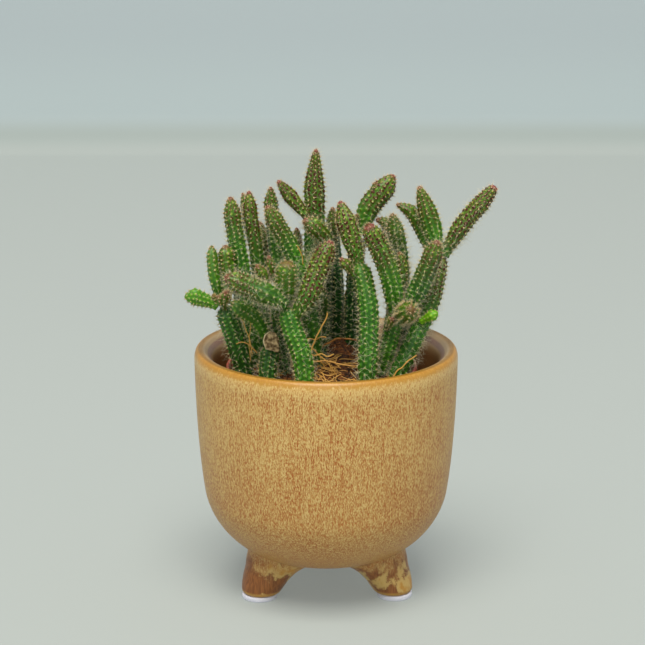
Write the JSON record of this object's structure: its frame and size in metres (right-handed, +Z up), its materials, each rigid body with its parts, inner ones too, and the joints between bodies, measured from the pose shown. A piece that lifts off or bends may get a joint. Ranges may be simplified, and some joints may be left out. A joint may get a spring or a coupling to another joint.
{
  "type": "potted mistletoe cactus",
  "caption": "Bristly green cactus stems in a plastic nursery pot of potting mix, standing loose inside a round glazed planter on stubby feet.",
  "frame": {"origin": "on the table, under the middle of the whole object's outline, stems included; the planter's own axis is 4 mm towards -X", "axes": "+Z up; the front, with two feet showing, faces -Y; +X to the right of someone looking at the front"},
  "size_m": [0.0922, 0.08, 0.1368],
  "materials": {
    "glaze": "ochre reactive glaze over a rust-brown body, satin gloss",
    "pad": "white closed-cell foam, matt",
    "nursery_plastic": "thin terracotta-red moulded plastic",
    "mix": "damp peat and coir with a little perlite",
    "stem": "living green skin under cream areoles and pale bristles",
    "husk": "dry tan papery skin"
  },
  "bodies": {
    "root": {"planter": "glaze", "pad_back": "pad", "pad_front_left": "pad", "pad_front_right": "pad", "nursery_pot": "nursery_plastic", "potting_mix": "mix", "stem_left_main": "stem", "branch_left_slim": "stem", "branch_left_blunt": "stem", "branch_left_side": "stem", "bud_left_main": "stem", "stem_left_stub": "stem", "branch_left_low": "stem", "stem_left_tall": "stem", "stem_left_second": "stem", "branch_left_second": "stem", "stem_left_third": "stem", "stem_left_woolly": "stem", "stem_left_leaning": "stem", "stem_front_left": "stem", "branch_front_left_side": "stem", "branch_front_left_top": "stem", "branch_front_left_reach": "stem", "bud_front_left_side": "stem", "bud_front_left_top": "stem", "stem_tall_centre": "stem", "branch_tall_centre": "stem", "stem_centre_bowed": "stem", "stem_inner": "stem", "stem_centre_front": "stem", "branch_centre_front": "stem", "bud_centre_front": "stem", "stem_right_inner": "stem", "branch_right_bright": "stem", "branch_right_facing": "stem", "bud_right_inner": "stem", "branch_right_head": "stem", "stem_right_woolly": "stem", "bud_right_woolly": "stem", "stem_right_main": "stem", "branch_right_up": "stem", "branch_right_out": "stem", "branch_right_arch": "stem", "bud_right_main": "stem", "stem_back_club": "stem", "branch_back_club": "stem", "stem_back_arched": "stem", "stem_back_centre": "stem", "stem_back_far": "stem", "stem_back_slim": "stem", "stem_back_short": "stem", "stem_back_left": "stem", "stem_back_inner": "stem", "stem_back_outer": "stem", "stem_back_right": "stem", "dry_husk": "husk"}
  },
  "joints": []
}
